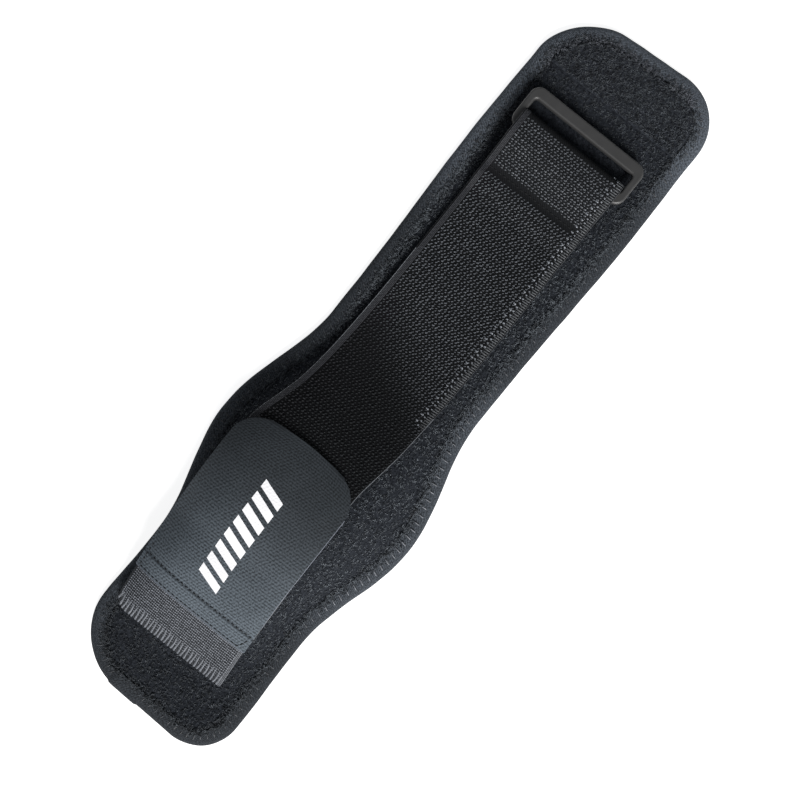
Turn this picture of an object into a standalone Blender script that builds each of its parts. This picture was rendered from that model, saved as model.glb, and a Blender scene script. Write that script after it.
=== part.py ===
# A tennis elbow strap laid out flat: a padded cuff with a bound edge, and an elastic strap that is sewn
# to it, turns round the bar of a plastic ring, runs back along the cuff, folds over at the far end and
# carries a smooth hook tab.
# Metres, +Z up. +X points to the ring end of the cuff, +Y across it, and the origin lies on the floor
# under its middle.

import math

import bmesh
import bpy
from mathutils import Vector

MM = 0.001
GAP = 0.3 * MM  # left between two pieces that touch

# Cuff, seen from above
PAD_LENGTH = 350 * MM
TAIL_WIDTH = 78.8 * MM
WAIST_WIDTH = 77.4 * MM
NECK_WIDTH = 77.2 * MM
FLARE_WIDTH = 81.2 * MM
RING_END_WIDTH = 80.2 * MM
BULGE_WIDTH = 99 * MM
BULGE_PLACE = 0.348  # of the cuff's length, from its tail
BULGE_TAIL_REACH = 58 * MM
BULGE_RING_REACH = 60.5 * MM
TAIL_CORNERS = (20 * MM, 28 * MM)  # radius on the -Y side and on the +Y side
RING_CORNERS = (24 * MM, 28 * MM)
TAIL_SLANT = 3 * MM  # how much shorter the +Y side is
RING_SLANT = 5.5 * MM
SLANT_REACH = 60 * MM  # each end's slant fades out over this length

# Cuff, through its thickness
PAD_THICKNESS = 5 * MM
CROWN_HEIGHT = 17 * MM  # of the cushion that the bulge holds

# Sewn binding round the edge
BINDING_WIDTH = 7 * MM
BINDING_HEIGHT = 4.8 * MM
TAPE_THICKNESS = 0.8 * MM

# Looped patch across the ring end
PATCH_LENGTH = 22.5 * MM
PATCH_THICKNESS = 0.8 * MM
PATCH_MARGIN = 0.6 * MM  # to the binding

# Plastic ring
RING_LENGTH = 20 * MM
RING_WIDTH = 58.2 * MM
RING_SETBACK = 43 * MM  # from the ring end of the cuff
RING_SIDE = 1.4 * MM  # how far its middle lies to the +Y side
BAR_WIDTH = 5.3 * MM
SIDE_WIDTH = 3.4 * MM
RING_THICKNESS = 3.4 * MM
RING_OUTER_CORNER = 4.6 * MM
RING_INNER_CORNER = 1 * MM
RING_EDGE = 0.9 * MM

# Elastic strap
STRAP_WIDTH = 50.6 * MM
STRAP_THICKNESS = 2 * MM
STRAP_DRIFT = 7.4 * MM  # how far it wanders to the +Y side on the bulge
BAR_SLACK = 1.1 * MM  # between the bar and the strap that turns round it
SEAM_DISTANCE = 17 * MM  # from the ring back to the seam that closes the loop
SEAM_TAIL = 5.5 * MM  # of the sewn end, past the seam
SEAM_STEP = 10 * MM  # over which the strap comes down behind its sewn end
STRAP_DRAPE = 0.8  # how far it follows the cushion across; 1 is all the way
FOLD_SETBACK = 30.4 * MM  # from the tail of the cuff
FOLD_INSIDE = 0.5 * MM  # inner radius
RETURN_LENGTH = 26.6 * MM  # that lies back on the strap from the fold
RETURN_WIDTH = 54.8 * MM  # where the tab is sewn to it
RETURN_SETTLE = 13 * MM  # over which it comes down on the strap

# Hook tab
TAB_LENGTH = 82.7 * MM
TAB_WIDTH = 57.4 * MM
TAB_HEM_WIDTH = 54.6 * MM
TAB_FLARE = 45 * MM  # over which it widens from its hem
TAB_THICKNESS = 1.7 * MM
TAB_OVERLAP = 7.2 * MM  # with the strap's end
TAB_CORNER = 14 * MM
TAB_HEM_CORNER = 2 * MM
TAB_STEP = 24 * MM  # over which it comes down off the strap's end
HEM_THICKNESS = 2.4 * MM
HEM_LENGTH = 6.6 * MM
TAB_DRIFT = 8.6 * MM  # to the +Y side, where it ends
TAB_HEM_DRIFT = 5.6 * MM  # and where it begins

# The cuff's width along its length. Columns: share of the length from the tail, width.
PAD_WIDTHS = (
    (0.09, TAIL_WIDTH),
    (0.16, WAIST_WIDTH),
    (0.574, NECK_WIDTH),
    (0.777, FLARE_WIDTH),
    (0.906, RING_END_WIDTH),
)
# The cushion's rise along the cuff: steep at the tail, then round, then a long fall. Columns: share of
# the cuff's length from the tail, share of the crown's height.
CROWN_LINE = (
    (0.071, 0.0),
    (0.1, 0.13),
    (0.143, 0.42),
    (0.186, 0.66),
    (0.229, 0.84),
    (0.271, 0.96),
    (0.311, 1.0),
    (0.351, 0.93),
    (0.397, 0.7),
    (0.443, 0.4),
    (0.489, 0.16),
    (0.534, 0.03),
    (0.569, 0.0),
)
# The strap's run from the fold to the ring. Columns: share of the run, share of the drift, share of
# the strap's width.
STRAP_LINE = (
    (0.0, 0.35, 1.005),
    (0.17, 0.45, 1.015),
    (0.27, 0.72, 1.035),
    (0.365, 1.0, 1.06),
    (0.43, 0.6, 1.025),
    (0.46, 0.4, 1.01),
    (0.52, 0.2, 1.0),
    (0.6, 0.07, 1.0),
    (0.7, 0.0, 1.0),
    (1.0, 0.0, 1.0),
)
# The tab's line from its hem to its free end. Columns: share of its length, share of the way from
# the drift of its hem to that of its end.
TAB_LINE = ((0.0, 0.0), (0.34, 0.8), (0.75, 1.0), (1.0, 1.0))

# How finely the solids are divided
SIDE_STEP = 7 * MM
TAB_SIDE_STEP = 5 * MM
RUN_STEP = 5.5 * MM
CORNER_PARTS = 6
TURN_PARTS = 6
PAD_RINGS = 7
TAB_RINGS = 6
STRAP_COLUMNS = 8
SMOOTH_ANGLE = math.radians(40)

# Places that follow from the sizes
TAIL_X = -PAD_LENGTH / 2
BULGE_X = TAIL_X + BULGE_PLACE * PAD_LENGTH
RING_X = PAD_LENGTH / 2 - RING_SETBACK - RING_LENGTH / 2
BAR_X = RING_X - RING_LENGTH / 2 + BAR_WIDTH  # the side of the held bar that faces the slot
PATCH_X = PAD_LENGTH / 2 - BINDING_WIDTH - PATCH_LENGTH
SEAM_X = RING_X - RING_LENGTH / 2 - SEAM_DISTANCE
FOLD_X = TAIL_X + FOLD_SETBACK
RETURN_X = FOLD_X + RETURN_LENGTH
TAB_X = RETURN_X - TAB_OVERLAP

# Heights of the strap's middle above the cuff, and of the ring's and the tab's faces
LAID = GAP + STRAP_THICKNESS / 2
STACKED = LAID + STRAP_THICKNESS + GAP
RING_RISE = GAP + STRAP_THICKNESS + GAP + RING_THICKNESS / 2
BAR_TURN = RING_THICKNESS / 2 + GAP + STRAP_THICKNESS / 2
OVER_BAR = RING_RISE + BAR_TURN
BAR_TURN_X = BAR_X + BAR_SLACK + STRAP_THICKNESS / 2 - BAR_TURN
FOLD_TURN = FOLD_INSIDE + STRAP_THICKNESS / 2
FOLD_TURN_X = FOLD_X + FOLD_TURN + STRAP_THICKNESS / 2
TAB_LOW = LAID + STRAP_THICKNESS / 2 + GAP
TAB_HIGH = STACKED + STRAP_THICKNESS / 2 + GAP


def clear_scene():
    for old in list(bpy.data.objects):
        bpy.data.objects.remove(old)


def eased(share):
    share = min(max(share, 0.0), 1.0)
    return share * share * (3 - 2 * share)


def blend(first, second, share):
    return first + (second - first) * share


def steps(start, end, length):
    """Values from start to end, about this length apart."""
    count = max(round(abs(end - start) / length), 1)
    return [blend(start, end, i / count) for i in range(count + 1)]


def hump(x, middle, low_reach, high_reach):
    """A cosine bump: 1 at its middle, 0 past its reach on either side."""
    away = (middle - x) / low_reach if x < middle else (x - middle) / high_reach
    return 0.5 * (1 + math.cos(math.pi * min(away, 1.0)))


def through(table, share):
    """The values at a share of the way along a table, on a smooth curve through its rows."""
    if share <= table[0][0]:
        return table[0][1:]
    if share >= table[-1][0]:
        return table[-1][1:]
    after = next(i for i, row in enumerate(table) if row[0] > share)
    start, end = table[after - 1], table[after]
    before = table[after - 2] if after > 1 else start
    beyond = table[after + 1] if after + 1 < len(table) else end
    span = end[0] - start[0]
    t = (share - start[0]) / span
    values = []
    for column in range(1, len(start)):
        leave = (end[column] - before[column]) / (end[0] - before[0]) * span
        arrive = (beyond[column] - start[column]) / (beyond[0] - start[0]) * span
        values.append(
            start[column] * (1 + 2 * t) * (1 - t) ** 2
            + leave * t * (1 - t) ** 2
            + end[column] * t * t * (3 - 2 * t)
            + arrive * t * t * (t - 1)
        )
    return values


def pad_half(x):
    """Half of the cuff's width at x."""
    width = through(PAD_WIDTHS, (x - TAIL_X) / PAD_LENGTH)[0]
    bulge = hump(x, BULGE_X, BULGE_TAIL_REACH, BULGE_RING_REACH)
    return blend(width, BULGE_WIDTH, bulge) / 2


def pad_top(x, y):
    """Height of the cuff's upper face, which the cushion raises between the two sides of the binding."""
    crown = CROWN_HEIGHT * through(CROWN_LINE, (x - TAIL_X) / PAD_LENGTH)[0]
    across = min(abs(y) / (pad_half(x) - BINDING_WIDTH), 1.0)
    return PAD_THICKNESS + crown * (1 - across**4) ** 1.5


def strap_bed(x, y):
    """Height that the strap lies on: it is tight, so it dips less than the cushion does at its edges."""
    return pad_top(x, y * STRAP_DRAPE)


def strap_line(x):
    """The strap's middle line and half width at x."""
    run = (x - FOLD_X) / (BAR_X - FOLD_X)
    drift, width = through(STRAP_LINE, run)
    return RING_SIDE + STRAP_DRIFT * drift, STRAP_WIDTH / 2 * width


def band_outline(start, end, half, start_corners, end_corners, spine_inset, step):
    """An outline with rounded corners, anticlockwise, as points with their place on the middle line.

    Each corner pair is the radius on the -Y side and on the +Y side. The places run along a spine that
    stops short of both ends."""
    stations = steps(start + max(start_corners), end - max(end_corners), step)
    corners = (
        (end, -1, end_corners[0], -90),
        (end, 1, end_corners[1], 0),
        (start, 1, start_corners[1], 90),
        (start, -1, start_corners[0], 180),
    )
    arcs = []
    for edge, side, radius, angle in corners:
        middle = edge - radius if edge == end else edge + radius
        across = side * (half(middle) - radius)
        turns = [math.radians(angle + 90 * i / CORNER_PARTS) for i in range(CORNER_PARTS + 1)]
        arcs.append([(middle + radius * math.cos(t), across + radius * math.sin(t)) for t in turns])
    lower = [(x, -half(x)) for x in stations]
    upper = [(x, half(x)) for x in reversed(stations)]
    end_edge = [(end, y) for y in steps(arcs[0][-1][1], arcs[1][0][1], step)]
    start_edge = [(start, y) for y in steps(arcs[2][-1][1], arcs[3][0][1], step)]
    points = []
    for point in lower + arcs[0] + end_edge + arcs[1] + upper + arcs[2] + start_edge + arcs[3]:
        if not points or math.dist(point, points[-1]) > GAP:
            points.append(point)
    if math.dist(points[0], points[-1]) < GAP:
        points.pop()
    low, high = start + spine_inset, end - spine_inset
    return [(x, y, min(max(x, low), high)) for x, y in points]


def slanted(x, y):
    """Moves a point of the cuff's plain outline so that both ends slant."""
    across = y / RING_END_WIDTH + 0.5
    tail = eased((TAIL_X + SLANT_REACH - x) / SLANT_REACH)
    ring = eased((x + TAIL_X + SLANT_REACH) / SLANT_REACH)
    return x + across * (TAIL_SLANT * tail - RING_SLANT * ring)


def pad_outline():
    """The cuff's outer edge, as points, and the point of its middle line that faces each."""
    spine_inset = min(TAIL_WIDTH, RING_END_WIDTH) / 2
    plain = band_outline(
        TAIL_X, -TAIL_X, pad_half, TAIL_CORNERS, RING_CORNERS, spine_inset, SIDE_STEP
    )
    edge = [Vector((slanted(x, y), y)) for x, y, _ in plain]
    low, high = min(p.x for p in edge), max(p.x for p in edge)
    stretch = PAD_LENGTH / (high - low)
    for point in edge:
        point.x = TAIL_X + (point.x - low) * stretch
    spine = [Vector((place, 0)) for _, _, place in plain]
    return edge, spine


def inset(outline, distance):
    """An anticlockwise outline moved inward."""
    moved = []
    for i, point in enumerate(outline):
        along = (outline[(i + 1) % len(outline)] - outline[i - 1]).normalized()
        moved.append(point + Vector((-along.y, along.x)) * distance)
    return moved


def level(outline, height):
    return [Vector((p.x, p.y, height)) for p in outline]


def draped(outline, height):
    return [Vector((p.x, p.y, height(p.x, p.y))) for p in outline]


def toward(outline, spine, share):
    return [point.lerp(place, share) for point, place in zip(outline, spine)]


def loft(name, rows, joined=False, capped=False):
    """A closed body through rows of points, joined end to end or capped. Rows that meet are welded."""
    shape = bmesh.new()
    rings = [[shape.verts.new(point) for point in row] for row in rows]
    pairs = list(zip(rings, rings[1:]))
    if joined:
        pairs.append((rings[-1], rings[0]))
    for one, other in pairs:
        for i in range(len(one)):
            shape.faces.new((one[i - 1], one[i], other[i], other[i - 1]))
    if capped:
        shape.faces.new(rings[0])
        shape.faces.new(rings[-1])
    bmesh.ops.remove_doubles(shape, verts=shape.verts, dist=0.001 * MM)
    bmesh.ops.recalc_face_normals(shape, faces=shape.faces)
    mesh = bpy.data.meshes.new(name)
    shape.to_mesh(mesh)
    shape.free()
    mesh.shade_smooth()
    mesh.set_sharp_from_angle(angle=SMOOTH_ANGLE)
    body = bpy.data.objects.new(name, mesh)
    bpy.context.scene.collection.objects.link(body)
    return body


def finish(body, colour, roughness):
    look = bpy.data.materials.new(body.name)
    look.use_nodes = True
    shader = look.node_tree.nodes["Principled BSDF"]
    shader.inputs["Base Color"].default_value = (*colour, 1)
    shader.inputs["Roughness"].default_value = roughness
    shader.inputs["Metallic"].default_value = 0
    body.data.materials.append(look)


def make_pad(edge, spine):
    """The cuff's foam body: thin where the binding grips it, full inside, flat below."""
    grip = inset(edge, TAPE_THICKNESS + GAP)
    lip = inset(edge, BINDING_WIDTH + GAP)
    inside = inset(edge, BINDING_WIDTH + 2 * GAP)
    under, over = TAPE_THICKNESS + GAP, BINDING_HEIGHT - TAPE_THICKNESS - GAP
    rows = [
        level(inside, 0),
        level(lip, under),
        level(grip, under),
        level(grip, over),
        level(lip, over),
        level(inside, BINDING_HEIGHT),
    ]
    for i in range(1, PAD_RINGS + 1):
        rows.append(draped(toward(inside, spine, i / PAD_RINGS), pad_top))
    body = loft("pad", rows)
    cap_flat_bottom(body)
    finish(body, (0.026, 0.029, 0.034), 0.95)


def cap_flat_bottom(body):
    shape = bmesh.new()
    shape.from_mesh(body.data)
    rim = [e for e in shape.edges if e.is_boundary]
    bmesh.ops.contextual_create(shape, geom=rim)
    bmesh.ops.recalc_face_normals(shape, faces=shape.faces)
    shape.to_mesh(body.data)
    shape.free()


def make_edge_binding(edge):
    """A tape folded round the cuff's edge, with a round outer fold."""
    radius = BINDING_HEIGHT / 2
    inner = radius - TAPE_THICKNESS
    profile = [(BINDING_WIDTH, 0)]
    for i in range(TURN_PARTS + 1):
        turn = math.pi * i / TURN_PARTS
        profile.append((radius - radius * math.sin(turn), radius - radius * math.cos(turn)))
    profile.append((BINDING_WIDTH, BINDING_HEIGHT))
    profile.append((BINDING_WIDTH, BINDING_HEIGHT - TAPE_THICKNESS))
    profile.append((TAPE_THICKNESS + GAP, radius + inner))
    profile.append((TAPE_THICKNESS, radius + inner - GAP))
    profile.append((TAPE_THICKNESS, radius - inner + GAP))
    profile.append((TAPE_THICKNESS + GAP, radius - inner))
    profile.append((BINDING_WIDTH, TAPE_THICKNESS))
    body = loft("edge_binding", [level(inset(edge, d), z) for d, z in profile], joined=True)
    finish(body, (0.045, 0.048, 0.054), 0.8)


def make_end_patch(edge):
    """The looped patch, which fills the cuff's ring end up to the binding."""
    bounds = inset(edge, BINDING_WIDTH + 2 * GAP + PATCH_MARGIN)
    kept = [p for p in bounds if p.x > PATCH_X + GAP]
    half = pad_half(PATCH_X) - BINDING_WIDTH - 2 * GAP - PATCH_MARGIN
    outline = [Vector((PATCH_X, -half))] + kept + [Vector((PATCH_X, half))]
    low = PAD_THICKNESS + GAP
    body = loft("end_patch", [level(outline, low), level(outline, low + PATCH_THICKNESS)], capped=True)
    finish(body, (0.030, 0.032, 0.036), 0.95)


def strap_section(x, rise, facing, middle, half, bed):
    """One section of the strap, its looped face and then its back. Facing is the way that the looped
    face looks, as an angle from +Z toward +X."""
    face, back = [], []
    push = Vector((math.sin(facing), 0, math.cos(facing))) * STRAP_THICKNESS / 2
    for i in range(STRAP_COLUMNS):
        y = middle + half * (2 * i / (STRAP_COLUMNS - 1) - 1)
        centre = Vector((x, y, bed(x, y) + rise))
        face.append(centre + push)
        back.append(centre - push)
    return face + back[::-1]


def strap_rise(x):
    """Height of the strap's middle above the cuff on its long run: laid on the cuff, up over its own
    sewn end, and up again over the ring's bar."""
    over_end = eased((x - SEAM_X + SEAM_TAIL + SEAM_STEP) / SEAM_STEP)
    over_bar = eased((x - SEAM_X) / (SEAM_DISTANCE - GAP))
    return LAID + (STACKED - LAID) * over_end + (OVER_BAR - STACKED) * over_bar


def return_line(x):
    """Middle line, half width and height of the strap's end, folded back over its own run."""
    share = (x - FOLD_TURN_X) / (RETURN_X - FOLD_TURN_X)
    middle, half = strap_line(FOLD_X)
    hem = RING_SIDE + TAB_HEM_DRIFT
    settled = eased((x - FOLD_TURN_X) / RETURN_SETTLE)
    rise = blend(LAID + 2 * FOLD_TURN, STACKED, settled)
    return blend(middle, hem, share), blend(half, RETURN_WIDTH / 2, share), rise


def make_strap():
    """One elastic band: its sewn end, the turn round the ring's bar, the long run, the fold and the
    end that comes back."""
    rows = []
    for x in steps(SEAM_X - SEAM_TAIL, BAR_TURN_X, RUN_STEP)[:-1]:
        rows.append(strap_section(x, LAID, math.pi, *strap_line(x), strap_bed))
    for i in range(TURN_PARTS + 1):
        turn = math.pi * (i / TURN_PARTS - 0.5)
        x = BAR_TURN_X + BAR_TURN * math.cos(turn)
        rise = RING_RISE + BAR_TURN * math.sin(turn)
        rows.append(strap_section(x, rise, math.pi / 2 - turn, *strap_line(x), strap_bed))
    for x in steps(BAR_TURN_X, FOLD_TURN_X, RUN_STEP)[1:-1]:
        rows.append(strap_section(x, strap_rise(x), 0, *strap_line(x), strap_bed))
    for i in range(TURN_PARTS + 1):
        turn = -math.pi * (i / TURN_PARTS + 0.5)
        x = FOLD_TURN_X + FOLD_TURN * math.cos(turn)
        rise = LAID + FOLD_TURN + FOLD_TURN * math.sin(turn)
        facing = math.pi * i / TURN_PARTS
        rows.append(strap_section(x, rise, facing, *strap_line(FOLD_X), strap_bed))
    for x in steps(FOLD_TURN_X, RETURN_X, RUN_STEP)[1:]:
        middle, half, rise = return_line(x)
        rows.append(strap_section(x, rise, math.pi, middle, half, strap_bed))
    body = loft("strap", rows, capped=True)
    finish(body, (0.024, 0.026, 0.030), 0.9)


def rounded_rectangle(length, width, radius):
    points = []
    for side_x, side_y, angle in ((1, -1, -90), (1, 1, 0), (-1, 1, 90), (-1, -1, 180)):
        middle = Vector((side_x * (length / 2 - radius), side_y * (width / 2 - radius)))
        for i in range(CORNER_PARTS + 1):
            turn = math.radians(angle + 90 * i / CORNER_PARTS)
            points.append(middle + radius * Vector((math.cos(turn), math.sin(turn))))
    return points


def make_ring():
    """The plastic ring, with two wide bars, two narrower sides and rounded edges."""
    outer = rounded_rectangle(RING_LENGTH, RING_WIDTH, RING_OUTER_CORNER)
    inner = rounded_rectangle(
        RING_LENGTH - 2 * BAR_WIDTH, RING_WIDTH - 2 * SIDE_WIDTH, RING_INNER_CORNER
    )
    centre = Vector((RING_X, RING_SIDE, PAD_THICKNESS + RING_RISE))
    flat = RING_THICKNESS / 2 - RING_EDGE
    rows = []
    for out, into in zip(outer, inner):
        across = (into - out).normalized()
        row = []
        for rim, sign, turns in ((out, 1, (-90, -45, 0)), (out, 1, (0, 45, 90)),
                                 (into, -1, (90, 45, 0)), (into, -1, (0, -45, -90))):
            for turn in turns:
                angle = math.radians(turn)
                side = rim + across * sign * RING_EDGE * (1 - math.cos(angle))
                up = math.copysign(flat, sum(turns)) + RING_EDGE * math.sin(angle)
                row.append(centre + Vector((side.x, side.y, up)))
        rows.append(row)
    body = loft("ring", rows, joined=True)
    finish(body, (0.055, 0.055, 0.057), 0.45)


def tab_half(x):
    return blend(TAB_HEM_WIDTH, TAB_WIDTH, eased((x - TAB_X) / TAB_FLARE)) / 2


def tab_middle(x):
    share = through(TAB_LINE, (x - TAB_X) / TAB_LENGTH)[0]
    return RING_SIDE + blend(TAB_HEM_DRIFT, TAB_DRIFT, share)


def tab_low(x, y):
    """Height of the tab's lower face, on the strap's end and then on the strap."""
    return strap_bed(x, y) + blend(TAB_HIGH, TAB_LOW, eased((x - RETURN_X - GAP) / TAB_STEP))


def tab_high(x, y):
    """Height of its upper face, thicker along the hem."""
    hem = eased((TAB_X + HEM_LENGTH + GAP - x) / (2 * GAP))
    return tab_low(x, y) + blend(TAB_THICKNESS, HEM_THICKNESS, hem)


def make_hook_tab():
    """The smooth tab, sewn over the strap's end, with its free end rounded."""
    hem_corners, free_corners = (TAB_HEM_CORNER,) * 2, (TAB_CORNER,) * 2
    plain = band_outline(
        TAB_X, TAB_X + TAB_LENGTH, tab_half, hem_corners, free_corners, TAB_WIDTH / 3, TAB_SIDE_STEP
    )
    edge = [Vector((x, y + tab_middle(x))) for x, y, _ in plain]
    spine = [Vector((place, tab_middle(place))) for _, _, place in plain]
    rims = [toward(edge, spine, i / TAB_RINGS) for i in range(TAB_RINGS + 1)]
    rows = [draped(rim, tab_low) for rim in reversed(rims)] + [draped(rim, tab_high) for rim in rims]
    body = loft("hook_tab", rows)
    finish(body, (0.070, 0.074, 0.080), 0.8)


clear_scene()
pad_edge, pad_spine = pad_outline()
make_pad(pad_edge, pad_spine)
make_edge_binding(pad_edge)
make_end_patch(pad_edge)
make_strap()
make_ring()
make_hook_tab()
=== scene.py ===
import math

import bpy
import numpy as np
from mathutils import Matrix, Vector


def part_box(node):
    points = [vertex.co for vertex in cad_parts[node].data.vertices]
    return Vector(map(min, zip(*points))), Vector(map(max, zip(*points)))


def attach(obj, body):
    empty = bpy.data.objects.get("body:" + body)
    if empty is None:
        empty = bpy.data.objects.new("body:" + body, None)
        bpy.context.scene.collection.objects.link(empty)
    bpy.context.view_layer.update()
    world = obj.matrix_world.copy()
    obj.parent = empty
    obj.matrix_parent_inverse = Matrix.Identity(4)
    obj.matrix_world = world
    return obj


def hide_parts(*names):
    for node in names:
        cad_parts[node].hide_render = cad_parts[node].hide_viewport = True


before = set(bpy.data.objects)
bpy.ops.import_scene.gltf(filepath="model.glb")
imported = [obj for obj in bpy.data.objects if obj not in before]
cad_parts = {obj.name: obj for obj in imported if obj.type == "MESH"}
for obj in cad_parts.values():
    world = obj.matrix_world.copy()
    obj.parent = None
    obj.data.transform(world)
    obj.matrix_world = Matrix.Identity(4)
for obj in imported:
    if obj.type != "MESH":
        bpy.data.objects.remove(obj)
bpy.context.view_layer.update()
mm = 0.001


def inMm(**lengths):
    return {name: length * mm for name, length in lengths.items()}


# Handling of pieces

def pick(piece):
    bpy.ops.object.select_all(action="DESELECT")
    piece.select_set(True)
    bpy.context.view_layer.objects.active = piece


def linked(name, data):  # a new object in the scene
    piece = bpy.data.objects.new(name, data)
    bpy.context.scene.collection.objects.link(piece)
    return piece


def weld(piece, facing=False):  # joins points that lie on each other, and can turn the faces outward
    pick(piece)
    bpy.ops.object.mode_set(mode="EDIT")
    bpy.ops.mesh.select_all(action="SELECT")
    bpy.ops.mesh.remove_doubles(threshold=0.002 * mm)
    if facing:
        bpy.ops.mesh.normals_make_consistent(inside=False)
    bpy.ops.object.mode_set(mode="OBJECT")


def thicken(piece, thickness):  # half of it to each side
    pick(piece)
    modifier = piece.modifiers.new("solidify", "SOLIDIFY")
    modifier.thickness, modifier.offset = thickness, 0.0
    bpy.ops.object.modifier_apply(modifier=modifier.name)


def pointsOf(piece):
    count = len(piece.data.vertices)
    flat = np.empty(count * 3)
    piece.data.vertices.foreach_get("co", flat)
    return flat.reshape(count, 3)


def smoothShade(piece, degrees=50):
    pick(piece)
    bpy.ops.object.shade_smooth_by_angle(angle=math.radians(degrees))


def settle(piece, material, stands=()):
    piece.data.materials.clear()
    piece.data.materials.append(material)
    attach(piece, "root")
    if stands:
        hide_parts(*stands)
    return piece


# Curves and surfaces

def unit(vectors):
    return vectors / np.maximum(np.linalg.norm(vectors, axis=-1, keepdims=True), 1e-12)


def eased(share):
    share = np.clip(share, 0, 1)
    return share * share * (3 - 2 * share)


def together(*values):  # as arrays of one shape
    return np.broadcast_arrays(*(np.asarray(value, float) for value in values))


def distances(points):  # from the first point to each, along their line
    return np.concatenate([[0], np.cumsum(np.linalg.norm(np.diff(points, axis=0), axis=1))])


def gridPiece(name, along, across, place, size=(1, 1)):  # a grid, moved to place(u, v), each from 0 to 1
    bpy.ops.object.select_all(action="DESELECT")
    bpy.ops.mesh.primitive_grid_add(x_subdivisions=along, y_subdivisions=across, size=2)
    piece = bpy.context.active_object
    piece.name = piece.data.name = name
    flat = pointsOf(piece)[:, :2] / 2 + 0.5
    corners = np.empty(len(piece.data.loops), int)
    piece.data.loops.foreach_get("vertex_index", corners)
    piece.data.uv_layers.active.data.foreach_set("uv", (flat[corners] * size).astype(np.float32).ravel())
    piece.data.vertices.foreach_set("co", np.asarray(place(flat[:, 0], flat[:, 1]), float).ravel())
    piece.data.update()
    return piece


def loftPiece(name, rows):  # a skin through rows of points, each row closed on itself
    rows = np.concatenate([rows, rows[:, :1]], axis=1)
    count, around = rows.shape[:2]

    def place(u, v):
        return rows[np.rint(v * (count - 1)).astype(int), np.rint(u * (around - 1)).astype(int)]

    piece = gridPiece(name, around - 1, count - 1, place)
    weld(piece, facing=True)
    smoothShade(piece, 60)
    return piece


def addRun(curve, run, closed=False):
    spline = curve.splines.new("POLY")
    spline.points.add(len(run) - 1)
    flat = np.ones((len(run), 4))
    flat[:, :3] = run
    spline.points.foreach_set("co", flat.ravel())
    spline.use_cyclic_u = closed


def asMesh(name, curve, height=0.0):
    piece = linked(name, curve)
    piece.location.z = height
    pick(piece)
    bpy.ops.object.convert(target="MESH")
    return bpy.context.active_object


def threads(name, runs, radius, sides=4):  # round threads along runs of points
    curve = bpy.data.curves.new(name, "CURVE")
    curve.dimensions = "3D"
    curve.bevel_depth = radius
    curve.bevel_resolution = max(sides // 2 - 2, 0)
    curve.resolution_u = 1
    curve.use_fill_caps = True
    for run in runs:
        addRun(curve, run)
    piece = asMesh(name, curve)
    bpy.ops.object.shade_smooth()
    return piece


def archThread(name, reach, rise, sink, radius, sides=4):  # a short loop of yarn, to be copied
    share = np.linspace(-1, 1, 5)
    arch = np.stack([0 * share, share * reach, rise * (1 - share**4) - sink], axis=1)
    return threads(name, [arch], radius, sides)


def scattered(name, template, surface, first, second, turn, scale, tilt=0.0, steps=(0.3 * mm, 0.01), lift=0.0):
    here = surface(first, second)  # one mesh with a copy of a small mesh at each place on a surface
    along = unit(surface(first + steps[0], second) - here)
    across = surface(first, second + steps[1]) - here
    normal = unit(np.cross(along, across))
    across = np.cross(normal, along)
    tilt = np.broadcast_to(tilt, turn.shape)
    c, s = np.cos(turn)[:, None], np.sin(turn)[:, None]
    x, y = c * along + s * across, c * across - s * along
    c, s = np.cos(tilt)[:, None], np.sin(tilt)[:, None]
    y, z = c * y + s * normal, c * normal - s * y
    axes = np.stack([x, y, z], axis=1) * scale[:, None, None]
    base = pointsOf(template)
    points = (here + normal * lift * mm)[:, None] + np.einsum("vk,nkj->nvj", base, axes)
    faces = [tuple(p.vertices) for p in template.data.polygons]
    polygons = [tuple(v + i * len(base) for v in face) for i in range(len(here)) for face in faces]
    mesh = bpy.data.meshes.new(name)
    mesh.from_pydata(points.reshape(-1, 3).tolist(), [], polygons)
    piece = linked(name, mesh)
    bpy.data.objects.remove(template)
    pick(piece)
    bpy.ops.object.shade_smooth()
    return piece


# Materials

def newMaterial(name):
    material = bpy.data.materials.new(name)
    material.use_nodes = True
    tree = material.node_tree
    return material, tree, tree.nodes["Principled BSDF"]


def feed(tree, socket, value):  # a link or a fixed value
    if isinstance(value, bpy.types.NodeSocket):
        tree.links.new(value, socket)
    else:
        socket.default_value = value


def fill(tree, node, **inputs):
    for key, value in inputs.items():
        feed(tree, node.inputs[key.replace("_", " ")], value)


def addNode(tree, kind, settings=(), **inputs):
    node = tree.nodes.new(kind)
    for key, value in dict(settings).items():
        setattr(node, key, value)
    fill(tree, node, **inputs)
    return node


def placeIn(tree, scale, turn=0.0, source="Object"):  # coordinates, in pattern lengths
    where = addNode(tree, "ShaderNodeTexCoord").outputs[source]
    return addNode(tree, "ShaderNodeMapping", Scale=scale, Rotation=(0, 0, turn), Vector=where).outputs["Vector"]


def joinMath(tree, operation, *values):
    node = addNode(tree, "ShaderNodeMath", {"operation": operation})
    for socket, value in zip(node.inputs, values):
        feed(tree, socket, value)
    return node.outputs[0]


def plus(tree, total, value, weight):
    return joinMath(tree, "ADD", total, joinMath(tree, "MULTIPLY", value, weight))


def mixColour(tree, factor, first, second):
    node = addNode(tree, "ShaderNodeMix", {"data_type": "RGBA"})
    feed(tree, node.inputs[0], factor)
    for socket, colour in ((node.inputs[6], first), (node.inputs[7], second)):
        feed(tree, socket, colour if isinstance(colour, bpy.types.NodeSocket) else (*colour, 1))
    return node.outputs[2]


def ramp(tree, factor, low, high):  # 0 below low, 1 above high
    return addNode(tree, "ShaderNodeMapRange", From_Min=low, From_Max=high, Value=factor).outputs["Result"]


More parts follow.
